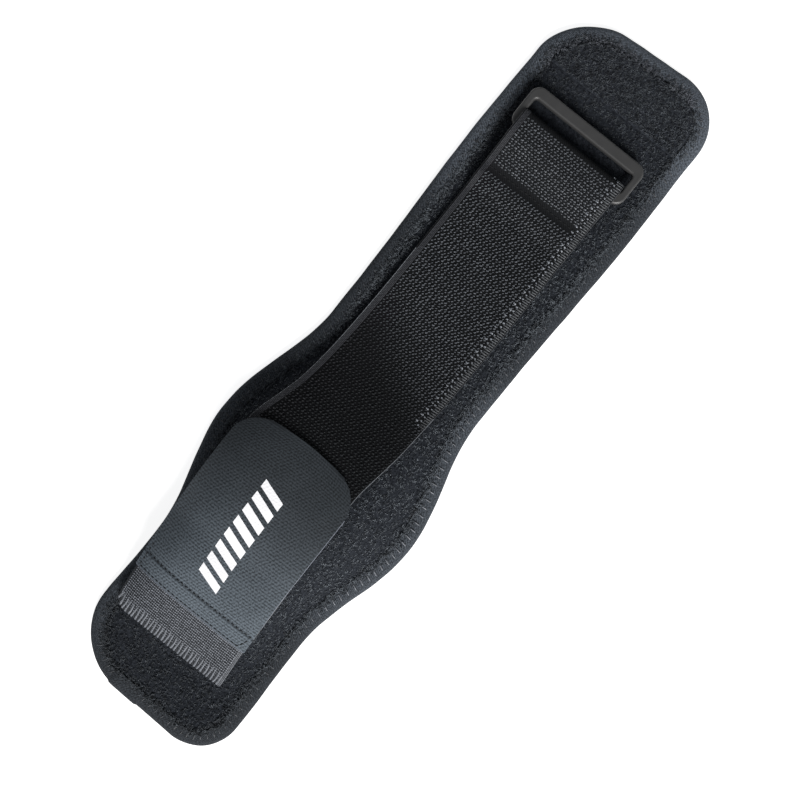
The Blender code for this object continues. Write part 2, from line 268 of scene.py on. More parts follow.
def shadedAndToned(tree, colour, *fades):  # darker towards one end, each: towards, start, end, least; painted shade on the tape, the tab and the threads that take it, a darker tone on the webbing ground
    where = addNode(tree, "ShaderNodeTexCoord").outputs["Object"]
    for towards, start, end, least in fades:
        node = addNode(tree, "ShaderNodeVectorMath", {"operation": "DOT_PRODUCT"})
        feed(tree, node.inputs[0], where)
        feed(tree, node.inputs[1], towards)
        share = addNode(tree, "ShaderNodeMapRange", {"interpolation_type": "SMOOTHSTEP"}, From_Min=start,
                        From_Max=end, To_Min=least, Value=node.outputs["Value"])
        colour = mixColour(tree, share.outputs["Result"], (0.001, 0.001, 0.001), colour)
    return colour


def noise(tree, size, detail=2.0, roughness=0.5, source="Object"):  # patches about this big
    place = placeIn(tree, (1 / size,) * 3, source=source)
    return addNode(tree, "ShaderNodeTexNoise", Scale=1.0, Detail=detail, Roughness=roughness,
                   Vector=place).outputs["Fac"]


def lines(tree, pitch, turn, source):  # thin ridges this far apart, across the turned X
    place = placeIn(tree, (2 * math.pi / 20 / pitch,) * 3, turn, source)
    return addNode(tree, "ShaderNodeTexWave", {"wave_type": "BANDS", "bands_direction": "X"}, Scale=1.0,
                   Vector=place).outputs["Fac"]


def bump(tree, shader, height, depth):
    node = addNode(tree, "ShaderNodeBump", Strength=1.0, Distance=depth, Height=height)
    fill(tree, shader, Normal=node.outputs["Normal"])


def clothShader(name, look):
    material, tree, shader = newMaterial(name)
    fill(tree, shader, Roughness=look["roughness"], Sheen_Weight=look["sheen"], Sheen_Roughness=0.45,
         Sheen_Tint=(0.75, 0.8, 0.9, 1), Specular_IOR_Level=look.get("shine", 0.15))
    return material, tree, shader


pileLook = {"dark": (0.0036, 0.0043, 0.0057), "light": (0.028, 0.0318, 0.039), "roughness": 0.95, "sheen": 0.0,
            "shine": 0.06, **inMm(patch=9, tuft=1.1, fibre=0.33, depth=0.5)}


def pileMaterial(name, look=pileLook, brighter=1.0):  # looped pile: tufts, with paler loops here and there
    material, tree, shader = clothShader(name, look)
    tuft = noise(tree, look["tuft"], 3.0, 0.65)
    fibre = noise(tree, look["fibre"], 2.0, 0.6)
    mixed = plus(tree, joinMath(tree, "MULTIPLY", tuft, 0.6), fibre, 0.4)
    tone = plus(tree, ramp(tree, mixed, 0.40, 0.66), noise(tree, look["patch"]), 0.18)
    light = tuple(brighter * c for c in look["light"])
    fill(tree, shader, Base_Color=mixColour(tree, tone, look["dark"], light))
    bump(tree, shader, mixed, look["depth"])
    return material


# painted light and shade: the tape's light colour is set high, and its three ramps darken it round the outline, most
# at the tail, for how the light falls on the rolled edge
tapeLook = {"dark": (0.0108, 0.0128, 0.0164), "light": (0.187, 0.216, 0.256), "roughness": 0.85, "sheen": 0.0,
            **inMm(pitch=0.8, patch=14, depth=0.2, grain=0.75), "spread": (0.46, 0.76), "parts": (0.18, 0.1, 0.85),
            "fades": [((0.8, 0.6, 0), 66 * mm, 100 * mm, 0.4), ((-0.8, -0.6, 0), -6 * mm, 18 * mm, 0.6),
                      ((0.8, 0.6, 0), -122 * mm, -88 * mm, 0.5)]}


def twillMaterial(name, look, source="Object", turn=math.radians(58)):
    material, tree, shader = clothShader(name, look)
    twill = lines(tree, look["pitch"], turn, source)
    warp = lines(tree, *look.get("cross", (look["pitch"] * 0.8, turn + math.pi / 2)), source)
    grain = noise(tree, look.get("grain", look["pitch"] * 0.7), 2.0, 0.6, source)
    patch = noise(tree, look["patch"], 2.0, 0.5, source)
    parts = look.get("parts", (0.5, 0.25, 0.4))
    weave = plus(tree, joinMath(tree, "MULTIPLY", twill, parts[0]), warp, parts[1])
    weave = plus(tree, weave, grain, parts[2])
    tone = plus(tree, ramp(tree, weave, *look.get("spread", (0.2, 0.95))), patch, 0.25)
    colour = mixColour(tree, tone, look["dark"], look["light"])
    fill(tree, shader, Base_Color=shadedAndToned(tree, colour, *look.get("fades", ())))
    bump(tree, shader, weave, look["depth"])
    return material


def threadMaterial(name, dark, light, roughness=0.5, sheen=0.05, size=0.5 * mm, fades=()):
    material, tree, shader = clothShader(name, {"roughness": roughness, "sheen": sheen, "shine": 0.25})
    tone = ramp(tree, noise(tree, size, 2.0, 0.6), 0.35, 0.65)
    fill(tree, shader, Base_Color=shadedAndToned(tree, mixColour(tree, tone, dark, light), *fades))
    bump(tree, shader, noise(tree, size * 0.5, 1.0), 0.05 * mm)
    return material


# Camera, light and floor

cameraLook = {**inMm(distance=475, widthSeen=334.9, seenAt=2.5), "over": (-5.5 * mm, -6.9 * mm),
              "right": (0.62508, -0.78056, 0), "up": (0.78056, 0.62508, 0)}


def addCamera(look=cameraLook):
    camera = bpy.data.cameras.new("camera")
    camera.lens_unit = "FOV"
    camera.angle = 2 * math.atan(look["widthSeen"] / 2 / (look["distance"] - look["seenAt"]))
    camera.clip_start = 0.01
    turned = Matrix((look["right"], look["up"], (0, 0, 1))).transposed().to_4x4()
    turned.translation = Vector((*look["over"], look["distance"]))
    holder = linked("camera", camera)
    holder.matrix_world = turned
    bpy.context.scene.camera = holder


lightLook = {"from": (-0.64, -0.77), "elevation": 34, "key": 5.6, "softness": 30, "tint": (1.0, 0.985, 0.97),
             "room": (0.93, 0.96, 1.0, 1), "fill": 0.26}


def addLight(look=lightLook):
    sun = bpy.data.lights.new("key", "SUN")
    sun.energy = look["key"]
    sun.angle = math.radians(look["softness"])
    sun.color = look["tint"]
    rise = math.radians(look["elevation"])
    toward = Vector((look["from"][0] * math.cos(rise), look["from"][1] * math.cos(rise), math.sin(rise)))
    linked("key", sun).rotation_euler = toward.to_track_quat("Z", "Y").to_euler()
    world = bpy.data.worlds.new("soft room")
    world.use_nodes = True
    fill(world.node_tree, world.node_tree.nodes["Background"], Color=look["room"], Strength=look["fill"])
    bpy.context.scene.world = world
    bpy.context.scene.view_settings.view_transform = "Standard"


floorLook = {"size": 40, "patch": 0.6, "dark": (0.56,) * 3, "light": (0.58,) * 3, "glow": 0.82}


def addFloor(look=floorLook):
    bpy.ops.object.select_all(action="DESELECT")
    bpy.ops.mesh.primitive_plane_add(size=look["size"], location=(0, 0, 0))
    floor = bpy.context.active_object
    floor.name = "floor"
    material, tree, shader = newMaterial("pale floor")
    tone = noise(tree, look["patch"], 1.0)
    fill(tree, shader, Roughness=0.9, Base_Color=mixColour(tree, tone, look["dark"], look["light"]),
         Emission_Color=(1, 1, 1, 1), Emission_Strength=look["glow"])
    floor.data.materials.append(material)


addCamera()
addLight()
addFloor()
print("camera, light and floor")


# Shape of the cuff's face and of the strap that lies on it, the same as in the CAD source

padShape = {
    **inMm(length=350, thickness=5, bulgeX=-53.2, bulgeWidth=99, bulgeTailReach=58, bulgeRingReach=60.5,
           crown=17, binding=7),
    "crownLine": ((0.071, 0.0), (0.1, 0.13), (0.143, 0.42), (0.186, 0.66), (0.229, 0.84), (0.271, 0.96),
                  (0.311, 1.0), (0.351, 0.93), (0.397, 0.7), (0.443, 0.4), (0.489, 0.16), (0.534, 0.03),
                  (0.569, 0.0)),
    "widths": ((0.09, 78.8 * mm), (0.16, 77.4 * mm), (0.574, 77.2 * mm), (0.777, 81.2 * mm), (0.906, 80.2 * mm)),
}
strapShape = {
    **inMm(width=51.4, side=1.8, drift=7.6, foldX=-144.6, foldTurn=1.5, returnX=-118, returnWidth=55.8,
           returnSettle=13, hemDrift=5.8, foldCorner=6.6, barX=117.3, barTurnX=117.2, barTurn=3.0, ringRise=4.3,
           seamX=95, seamTail=5.5, seamStep=10, seamToBar=16.7, laid=1.3, stacked=3.6, overBar=7.3),
    "drape": 0.8,
    "line": ((0.0, 0.5, 1.09), (0.17, 0.5, 1.02), (0.27, 0.72, 1.035), (0.365, 1.0, 1.06), (0.43, 0.6, 1.025),
             (0.46, 0.4, 1.01), (0.52, 0.2, 1.0), (0.6, 0.07, 1.0), (0.7, 0.0, 1.0), (1.0, 0.0, 1.0)),
}


def through(table, share):  # the columns of a table, on smooth curves through its rows
    table = np.array(table)
    places = table[:, 0]
    slopes = np.gradient(table[:, 1:], places, axis=0)
    for i in range(1, len(table) - 1):
        slopes[i] = (table[i + 1, 1:] - table[i - 1, 1:]) / (places[i + 1] - places[i - 1])
    share = np.clip(np.asarray(share, float), places[0], places[-1])
    i = np.clip(np.searchsorted(places, share, side="right") - 1, 0, len(table) - 2)
    span = places[i + 1] - places[i]
    t = ((share - places[i]) / span)[..., None]
    leave, arrive = slopes[i] * span[..., None], slopes[i + 1] * span[..., None]
    start, end = table[i, 1:], table[i + 1, 1:]
    values = start * (1 + 2 * t) * (1 - t) ** 2 + leave * t * (1 - t) ** 2
    values = values + end * t * t * (3 - 2 * t) + arrive * t * t * (t - 1)
    return [values[..., k] for k in range(values.shape[-1])]


def hump(x, middle, lowReach, highReach):
    away = np.where(x < middle, (middle - x) / lowReach, (x - middle) / highReach)
    return 0.5 * (1 + np.cos(math.pi * np.minimum(away, 1)))


def padHalf(x, shape=padShape):
    width = through(shape["widths"], (x + shape["length"] / 2) / shape["length"])[0]
    bulge = hump(x, shape["bulgeX"], shape["bulgeTailReach"], shape["bulgeRingReach"])
    return (width + (shape["bulgeWidth"] - width) * bulge) / 2


def padTop(x, y, shape=padShape):
    crown = shape["crown"] * through(shape["crownLine"], (x + shape["length"] / 2) / shape["length"])[0]
    across = np.minimum(np.abs(y) / (padHalf(x) - shape["binding"]), 1)
    return shape["thickness"] + crown * (1 - across**4) ** 1.5


def strapLine(x, shape=strapShape):
    drift, width = through(shape["line"], (x - shape["foldX"]) / (shape["barX"] - shape["foldX"]))
    return shape["side"] + shape["drift"] * drift, shape["width"] / 2 * width


def strapRoute(shape=strapShape):  # stations from the sewn end to the returned end
    step = 0.7 * mm

    def straight(start, end):
        return np.linspace(start, end, max(int(abs(end - start) / step), 2))

    low = straight(shape["seamX"] - shape["seamTail"], shape["barTurnX"])[:-1]
    turn = math.pi * (np.linspace(0, 1, 16) - 0.5)
    top = straight(shape["barTurnX"], shape["foldX"] + shape["foldTurn"] + mm)[1:-1]
    fold = -math.pi * (np.linspace(0, 1, 12) + 0.5)
    foldX = shape["foldX"] + shape["foldTurn"] + mm
    back = straight(foldX, shape["returnX"])[1:]
    overEnd = eased((top - shape["seamX"] + shape["seamTail"] + shape["seamStep"]) / shape["seamStep"])
    overBar = eased((top - shape["seamX"]) / shape["seamToBar"])
    topRise = shape["laid"] + (shape["stacked"] - shape["laid"]) * overEnd
    topRise = topRise + (shape["overBar"] - shape["stacked"]) * overBar
    settled = eased((back - foldX) / shape["returnSettle"])
    backRise = shape["laid"] + 2 * shape["foldTurn"]
    backRise = backRise + (shape["stacked"] - backRise) * settled
    share = (back - foldX) / (shape["returnX"] - foldX)
    foldMiddle, foldHalf = strapLine(np.array(shape["foldX"]))
    hem = shape["side"] + shape["hemDrift"]
    lines = [
        (low, np.full(len(low), shape["laid"]), np.full(len(low), math.pi), *strapLine(low)),
        (shape["barTurnX"] + shape["barTurn"] * np.cos(turn), shape["ringRise"] + shape["barTurn"] * np.sin(turn),
         math.pi / 2 - turn, *strapLine(shape["barTurnX"] + shape["barTurn"] * np.cos(turn))),
        (top, topRise, np.zeros(len(top)), *strapLine(top)),
        (foldX + shape["foldTurn"] * np.cos(fold), shape["laid"] + shape["foldTurn"] * (1 + np.sin(fold)),
         np.linspace(0, math.pi, 12), np.full(12, foldMiddle), np.full(12, foldHalf)),
        (back, backRise, np.full(len(back), math.pi), foldMiddle + (hem - foldMiddle) * share,
         foldHalf + (shape["returnWidth"] / 2 - foldHalf) * share),
    ]
    return [np.concatenate(parts) for parts in zip(*lines)]


strapX, strapRise, strapFacing, strapMiddle, strapHalf = strapRoute()
strapPlace = np.concatenate([[0], np.cumsum(np.hypot(np.diff(strapX), np.diff(strapRise)))])
strapEnd = strapPlace[-1]
ringTurn = strapPlace[np.argmax(strapX)]
tailTurn = strapPlace[np.argmin(strapX)]


def onStrap(length, across, lift=0.0):  # length from the sewn end, across from -1 to 1
    length, across, lift = together(length, across, lift)
    x, rise, facing, middle, half = (
        np.interp(length, strapPlace, field) for field in (strapX, strapRise, strapFacing, strapMiddle, strapHalf)
    )
    y = middle + half * across
    z = padTop(x, y * strapShape["drape"]) + rise
    corner = strapShape["foldCorner"]
    over = np.clip(1 - half * (1 - across) / corner, 0, 1)
    rounded = corner * (1 - np.sqrt(1 - over**2)) * eased((strapShape["foldX"] + 1.6 * corner - x) / (1.9 * corner))
    return np.stack([x + rounded + np.sin(facing) * lift, y, z + np.cos(facing) * lift], axis=-1)


def lengthAt(x):  # along the strap's long run
    rows = slice(int(np.argmax(strapX)), int(np.argmin(strapX)) + 1)
    return float(np.interp(-x, -strapX[rows], strapPlace[rows]))


strapLook = inMm(thickness=1.7, seamX=93.4, seamSlant=0.3, seamHalf=2.6, seamDip=0.75, lowEdge=3.4, highEdge=2.6)
strapSkin = strapLook["thickness"] / 2  # from the webbing's middle to its face
seamLength = lengthAt(strapLook["seamX"])
ringSide, crownSide = ringTurn - 8 * mm, lengthAt(-9 * mm)  # where the woven selvedge shows
tabHidden = lengthAt(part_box("hook_tab")[0].x)


def strapWidth(length):
    return 2 * np.interp(length, strapPlace, strapHalf)


def seamDip(length, across):  # how far the seam pulls the strap down
    off = length - seamLength - strapLook["seamSlant"] * across
    return -strapLook["seamDip"] * np.exp(-(off / strapLook["seamHalf"]) ** 2)


def strapFace(length, across, lift=strapSkin):
    return onStrap(length, across, lift + seamDip(length, across))


def makeStrapBody():
    piece = gridPiece("strapWebbing", 340, 36, lambda u, v: strapFace(u * strapEnd, v * 2 - 1, 0.0))
    thicken(piece, strapLook["thickness"])
    smoothShade(piece)
    return piece


loopLook = {**inMm(pitch=1.05, bump=1.72, radius=0.29, run=0.5, rise=0.36, sink=0.26, jitter=0.07, seamGap=2.4,
                   tabHides=6, ringGap=6.5, lowGap=1.1, plainGap=0.9, highGap=0.2), "slant": -0.66, "ringSlant": -0.2}


def makeStrapLoops(look=loopLook):  # short loops of yarn, in columns across the strap's face
    random = np.random.default_rng(7)
    template = archThread("loop", look["run"] / 2, look["rise"], look["sink"], look["radius"])
    end = lengthAt(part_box("hook_tab")[1].x - look["tabHides"])
    toRing = seamLength - look["seamGap"] - np.arange(0, seamLength - ringTurn - look["ringGap"], look["pitch"])
    columns = np.concatenate([toRing, np.arange(seamLength + look["seamGap"], end, look["pitch"])])
    lengths, acrosses, sizes = [], [], []
    for i, length in enumerate(columns):
        width = strapWidth(length)
        edge = strapLook["lowEdge"] + look["lowGap"] if length < crownSide else look["plainGap"]
        step = 2 * look["bump"] / width
        across = np.arange(-1 + 2 * edge / width + step * 0.27 * (i % 2),
                           1 - 2 * (strapLook["highEdge"] + look["highGap"]) / width, step)
        near = math.exp(-abs(length - seamLength) / (8 * mm))
        lengths.append(length + strapLook["seamSlant"] * across * near)
        acrosses.append(across)
        sizes.append(np.full(len(across), 0.88 + 0.24 * (i % 2) if length > seamLength else 0.84 + 0.36 * (i % 2)))
    length, across = np.concatenate(lengths), np.concatenate(acrosses)
    count = len(length)
    length = length + random.normal(0, look["jitter"], count)
    across = across + random.normal(0, look["jitter"] / (25 * mm), count)
    turn = np.where(length > seamLength, look["slant"], look["ringSlant"]) + random.normal(0, 0.17, count)
    scale = random.uniform(0.8, 1.18, count) * np.concatenate(sizes)
    return scattered("strapLoops", template, strapFace, length, across, turn, scale, random.normal(0, 0.1, count))


edgeLook = inMm(pitch=1.05, radius=0.25, lift=0.02, rise=0.2)


def makeLowSelvedge(look=edgeLook):  # short threads across the woven edge
    random = np.random.default_rng(11)
    runs = []
    for i, length in enumerate(np.arange(ringSide, crownSide, look["pitch"])):
        strong = i % 2
        inside = 2 * strapLook["lowEdge"] * (0.8 + 0.2 * strong + random.uniform(-0.06, 0.06))
        inner = 1 - inside / strapWidth(length)
        share = np.array([0.0, 0.14, 0.5, 0.82, 1.0])
        top = look["lift"] + look["rise"] * (0.35 + 0.65 * strong)
        lift = strapSkin + np.array([-0.6 * mm, look["lift"] - 0.08 * mm, look["lift"], top, -0.35 * mm])
        along = length + look["pitch"] * 0.2 * share + random.normal(0, 0.06 * mm)
        runs.append(strapFace(along, -(1.0 + (inner - 1.0) * share), lift))
    return threads("lowSelvedge", runs, look["radius"])


def edgeCords(name, side, start, end, lifts, face=1, radius=0.29 * mm):  # cords of a woven edge, lifts in mm
    runs = []
    for k, lift in enumerate(lifts):
        length = np.arange(start, end, 0.5 * mm)
        across = side * (1 - 2 * (0.1 * mm + 0.56 * mm * k) / strapWidth(length))
        wave = 0.05 * mm * np.sin(length / (0.95 * mm) * math.pi + k * 2.1)
        runs.append(strapFace(length, across, (strapSkin + lift * mm + wave) * face))
    return threads(name, runs, radius, sides=6)


def selvedgeDots(name, distance, pitch, size):  # the brighter loops inside a woven edge
    random = np.random.default_rng(17)
    length = np.arange(ringSide, crownSide, pitch)
    length = length + random.normal(0, 0.08 * mm, len(length))
    across = -1 + 2 * (distance + random.normal(0, 0.08 * mm, len(length))) / strapWidth(length)
    template = archThread("dot", size, 0.36 * mm, 0.2 * mm, 0.34 * mm, sides=6)
    return scattered(name, template, strapFace, length, across, random.normal(0.1, 0.2, len(length)),
                     random.uniform(0.85, 1.15, len(length)))


def makeSeamStitches():  # the row that closes the loop round the ring
    random = np.random.default_rng(5)
    lift = strapSkin + np.array([-0.25, 0.1, 0.16, 0.1, -0.25]) * mm
    runs = []
    for start in np.arange(-0.93, 0.9, 0.088):
        across = start + 0.07 * np.linspace(0, 1, 5)
        length = seamLength + strapLook["seamSlant"] * across - 0.1 * mm + random.normal(0, 0.08 * mm)
        runs.append(strapFace(length, across, lift))
    return threads("seamStitches", runs, 0.17 * mm, sides=6)


ribLook = inMm(pitch=1.72, radius=0.56, reach=8.5, column=1.0, row=0.92, selvedge=1.5, flat=4)


def makeReturnRibs(look=ribLook):  # cords that show where the elastic is bent over the fold
    along = np.arange(tailTurn - 5 * mm, tailTurn + look["reach"], 0.5 * mm)
    width = strapWidth(tailTurn)
    fade = eased((along - tailTurn - look["flat"]) / (look["reach"] - look["flat"]))
    runs = []
    for across in np.arange(-1 + 2 * look["selvedge"] / width, 0.97, 2 * look["pitch"] / width):
        bent = across + 0.006 * np.sin((along - tailTurn) / (1.7 * mm) + 40 * across)
        runs.append(onStrap(along, bent, -(strapSkin - 0.3 * mm - 0.42 * mm * fade)))
    return threads("returnRibs", runs, look["radius"], sides=6)


def makeReturnWeave(look=ribLook):  # the fine woven back of the elastic
    random = np.random.default_rng(21)
    length = np.arange(tailTurn + 3.4 * mm, strapEnd - 0.4 * mm, look["column"])
    width = 2 * strapHalf[-1]
    across = np.arange(-1 + 2 * look["selvedge"] / width, 0.985, 2 * look["row"] / width)
    length, across = (grid.ravel() for grid in np.meshgrid(length, across))
    template = archThread("stitch", 0.12 * mm, 0.34 * mm, 0.2 * mm, 0.31 * mm)
    length = length + random.normal(0, 0.05 * mm, len(length))
    turn = random.normal(0, 0.2, len(length))
    size = random.uniform(0.8, 1.15, len(length)) * (0.6 + 0.4 * eased((length - tailTurn - 3 * mm) / (4 * mm)))
    return scattered("returnWeave", template, lambda a, b: onStrap(a, -b, -strapSkin), length, -across, turn, size)


crownShade = ((1, -0.66, 0), -10 * mm, 27 * mm, 0.18)  # the strap lies in the crown's shade here
# painted shade: besides the crown's shade, the loops darken past x 115.6-120.6 mm, where the strap turns round the
# ring away from the light
loopThread = threadMaterial("loop thread", (0.028, 0.031, 0.036), (0.14, 0.151, 0.168),
                            fades=[crownShade, ((-1, 0, 0), -120.6 * mm, -115.6 * mm, 0.15)])
edgeThread = threadMaterial("edge thread", (0.04, 0.043, 0.047), (0.11, 0.117, 0.125), fades=[crownShade])
# painted highlight: a lighter thread along the strap's outer edges, where the rounded edge catches the light
edgeHighlightThread = threadMaterial("edge highlight", (0.07, 0.075, 0.083), (0.14, 0.15, 0.165))
dotThread = threadMaterial("dot thread", (0.13, 0.14, 0.155), (0.26, 0.28, 0.31), 0.45)
returnThread = threadMaterial("return edge", (0.06, 0.065, 0.074), (0.13, 0.14, 0.157))
bandThread = threadMaterial("band thread", (0.02, 0.0215, 0.024), (0.05, 0.0535, 0.06))
dimEdgeThread = threadMaterial("dim edge thread", (0.014, 0.015, 0.018), (0.034, 0.036, 0.042), 0.6)
seamThread = threadMaterial("seam thread", (0.003, 0.0033, 0.0037), (0.008, 0.009, 0.01), 0.7, 0.0)
ribThread = threadMaterial("rib thread", (0.075, 0.082, 0.093), (0.17, 0.182, 0.205), 0.55)
weaveThread = threadMaterial("weave thread", (0.095, 0.103, 0.118), (0.225, 0.242, 0.273), 0.55)
# the webbing ground's ramps: about 0.1 of its colour along the run, 0.17 past x 91 mm towards the ring, and 0.58 from
# x -120 mm on to the fold
webbingLook = {"dark": (0.017, 0.0182, 0.0204), "light": (0.068, 0.073, 0.082), "roughness": 0.9, "sheen": 0.0,
               "shine": 0.06, **inMm(pitch=0.8, patch=12, depth=0.1),
               "fades": [((-1, 0, 0), 112 * mm, 120 * mm, 0.17), ((1, 0, 0), 87 * mm, 91 * mm, 0.58)]}

strapBody = settle(makeStrapBody(), twillMaterial("webbing ground", webbingLook), ["strap"])
edgeIn = strapLook["lowEdge"]
for piece, thread in (
        (makeStrapLoops(), loopThread),
        (makeLowSelvedge(), edgeThread),
        (selvedgeDots("edgeDots", edgeIn - 0.15 * mm, 2.12 * mm, 0.16 * mm), dotThread),
        (selvedgeDots("innerDots", edgeIn + 1.5 * mm, 3.15 * mm, 0.42 * mm), dotThread),
        (edgeCords("lowBand", -1, ringSide, crownSide, (-0.34, -0.24, -0.26, -0.24, -0.26, -0.28)), bandThread),
        (edgeCords("lowLine", -1, crownSide - 6 * mm, tabHidden, (-0.1,), radius=0.2 * mm), edgeHighlightThread),
        (edgeCords("highLine", 1, lengthAt(48 * mm), tabHidden, (-0.02,), radius=0.17 * mm), edgeHighlightThread),
        (edgeCords("highSelvedge", 1, ringTurn - 4.4 * mm, tabHidden, (-0.30, -0.06, -0.10, -0.08, -0.12)),
         dimEdgeThread),
        (makeSeamStitches(), seamThread),
        (makeReturnRibs(), ribThread),
        (makeReturnWeave(), weaveThread),
        (edgeCords("returnEdge", -1, tailTurn + 1 * mm, strapEnd - 0.4 * mm, (-0.15, -0.1, -0.16), face=-1),
         returnThread)):
    settle(piece, thread)
print("strap")


# Cuff outline

cuffShape = {"tailCorners": (20 * mm, 28 * mm), "ringCorners": (24 * mm, 28 * mm), "points": 1000,
             **inMm(tailSlant=3, ringSlant=5.5, slantReach=60, ringEndWidth=80.2, spineInset=39.4)}


def evenly(points, count):  # a closed line of points, spaced evenly
    closed = np.concatenate([points, points[:1]])
    lengths = distances(closed)
    places = np.linspace(0, lengths[-1], count + 1)[:-1]
    return np.stack([np.interp(places, lengths, column) for column in closed.T], axis=1)


def smoothedRound(values, width):  # a moving average round a closed line
    kernel = np.ones(2 * width + 1) / (2 * width + 1)
    wrapped = np.concatenate([values[-width:], values, values[:width]])
    return np.stack([np.convolve(wrapped[:, k], kernel, "valid") for k in range(values.shape[1])], axis=1)


def cuffEdge(shape=cuffShape):
    half = padShape["length"] / 2
    arcs = []
    for end, side, radius, angle in (
            (half, -1, shape["ringCorners"][0], -90), (half, 1, shape["ringCorners"][1], 0),
            (-half, 1, shape["tailCorners"][1], 90), (-half, -1, shape["tailCorners"][0], 180)):
        middle = end - math.copysign(radius, end)
        across = side * (padHalf(np.array(middle)) - radius)
        turns = np.radians(angle + np.linspace(0, 90, 30))
        arcs.append(np.stack([middle + radius * np.cos(turns), across + radius * np.sin(turns)], axis=1))
    x = np.arange(-half + max(shape["tailCorners"]), half - max(shape["ringCorners"]), 2 * mm)
    lower = np.stack([x, -padHalf(x)], axis=1)
    upper = np.stack([x, padHalf(x)], axis=1)[::-1]
    plain = evenly(np.concatenate([lower, arcs[0], arcs[1], upper, arcs[2], arcs[3]]), shape["points"])
    x, y = plain.T
    across = y / shape["ringEndWidth"] + 0.5
    tail = eased((-half + shape["slantReach"] - x) / shape["slantReach"])
    ring = eased((x - half + shape["slantReach"]) / shape["slantReach"])
    moved = x + across * (shape["tailSlant"] * tail - shape["ringSlant"] * ring)
    low, high = moved.min(), moved.max()
    moved = -half + (moved - low) * padShape["length"] / (high - low)
    edge = np.stack([moved, y], axis=1)
    spine = np.stack([np.clip(x, -half + shape["spineInset"], half - shape["spineInset"]), 0 * x], axis=1)
    along = unit(smoothedRound(np.roll(edge, -1, 0) - np.roll(edge, 1, 0), 4))
    inward = np.stack([-along[:, 1], along[:, 0]], axis=1)
    return edge, spine, inward


edge, spine, inward = cuffEdge()
edgePlaces = distances(np.concatenate([edge, edge[:1]]))
edgeAround = edgePlaces[-1]


def onEdge(length, distance, height):  # a place along the outline, this far in from it
    length, distance, height = together(length, distance, height)
    wrapped = np.mod(length, edgeAround)
    fields = [np.append(f[:, k], f[0, k]) for f in (edge, inward) for k in (0, 1)]
    x, y, inX, inY = (np.interp(wrapped, edgePlaces, f) for f in fields)
    return np.stack([x + inX * distance, y + inY * distance, height], axis=-1)


def edgeLengthAt(x, y):  # where along the outline a place lies
    return float(np.argmin(np.linalg.norm(edge - np.array([x, y]), axis=1)) / len(edge) * edgeAround)


# Pad

padLook = {**inMm(lipIn=7.2, sag=0.5, ripple=0.35, wave=28), "rows": 30,
           "lip": ((6.6, 1.15), (2.0, 1.2), (1.5, 2.4), (2.0, 3.6), (6.6, 3.7))}  # in from the edge and up, in mm


def ripple(x, y, size, seed):  # smooth unevenness, from -1 to 1 about
    random = np.random.default_rng(seed)
    total = np.zeros_like(x)
    for _ in range(14):
        angle, phase = random.uniform(0, 2 * math.pi, 2)
        scale = random.uniform(0.7, 1.6) / size
        total += np.sin(2 * math.pi * scale * (x * math.cos(angle) + y * math.sin(angle)) + phase)
    return total / 14 * 1.9


def padRipple(x, y):
    return ripple(x, y, padLook["wave"], 5)


def makePad(look=padLook):
    def level(flat, height):
        return np.concatenate([flat, np.full((len(edge), 1), height)], axis=1)

    def toward(share, top):
        start = edge + inward * look["lipIn"]
        flat = start + (spine - start) * share
        if not top:
            return level(flat, 0.0)
        x, y = flat.T
        rim = eased(share * np.linalg.norm(spine - start, axis=1) / (4 * mm))
        z = padTop(x, y) - look["sag"] * (1 - rim) + look["ripple"] * rim * padRipple(x, y)
        return np.stack([x, y, z], axis=1)

    rows = [toward(s, False) for s in (1, 0.6, 0.25, 0)]
    rows += [level(edge + inward * (inside * mm), height * mm) for inside, height in look["lip"]]
    rows += [toward((k / look["rows"]) ** 1.15, True) for k in range(look["rows"] + 1)]
    return loftPiece("padBody", np.array(rows))


padPiece = settle(makePad(), pileMaterial("pile"), ["pad"])
print("pad")


curlLook = inMm(spacing=1.08, radius=0.42, thread=0.115, edgeRoom=5.3, clumps=6, strapFrom=-143.5, strapTo=117,
                tabFrom=-124, tabTo=-44, ringTo=131, ringHalf=26)


def hexPlaces(low, high, spacing, random, jitter=0.42):
    x = np.arange(low[0], high[0], spacing)
    y = np.arange(low[1], high[1], spacing * 0.87)
    gridX, gridY = np.meshgrid(x, y)
    gridX = gridX + (np.arange(len(y)) % 2)[:, None] * spacing / 2
    places = np.stack([gridX.ravel(), gridY.ravel()], axis=1)
    return places + random.uniform(-jitter, jitter, places.shape) * spacing


def insideOutline(places, outline):  # which places lie within a closed outline
    x, y = places[:, 0][:, None], places[:, 1][:, None]
    x1, y1 = outline[:, 0], outline[:, 1]
    x2, y2 = np.roll(x1, -1), np.roll(y1, -1)
    crossing = ((y1 > y) != (y2 > y)) & (x < (x2 - x1) * (y - y1) / np.where(y2 == y1, 1e-12, y2 - y1) + x1)
    return crossing.sum(1) % 2 == 1


def makeCurls(name, places, surface, seed, look=curlLook):  # small curls of yarn that stand on the pile
    random = np.random.default_rng(seed)
    turn = np.linspace(0, 1.45 * math.pi, 4)
    ring = np.stack([np.cos(turn), np.sin(turn), 0.25 * np.sin(turn * 0.5)], axis=1) * look["radius"]
    template = threads("curl", [ring], look["thread"])
    count = len(places)
    turn, tilt = random.uniform(0, 2 * math.pi, count), random.normal(0, 0.75, count)
    scale, lift = random.uniform(0.6, 1.35, count), random.uniform(0.0, 0.25, count)[:, None]
    return scattered(name, template, surface, *places.T, turn, scale, tilt, (0.3 * mm, 0.3 * mm), lift)


def padSurface(x, y):
    return np.stack([x, y, padTop(x, y) + padLook["ripple"] * padRipple(x, y)], axis=-1)


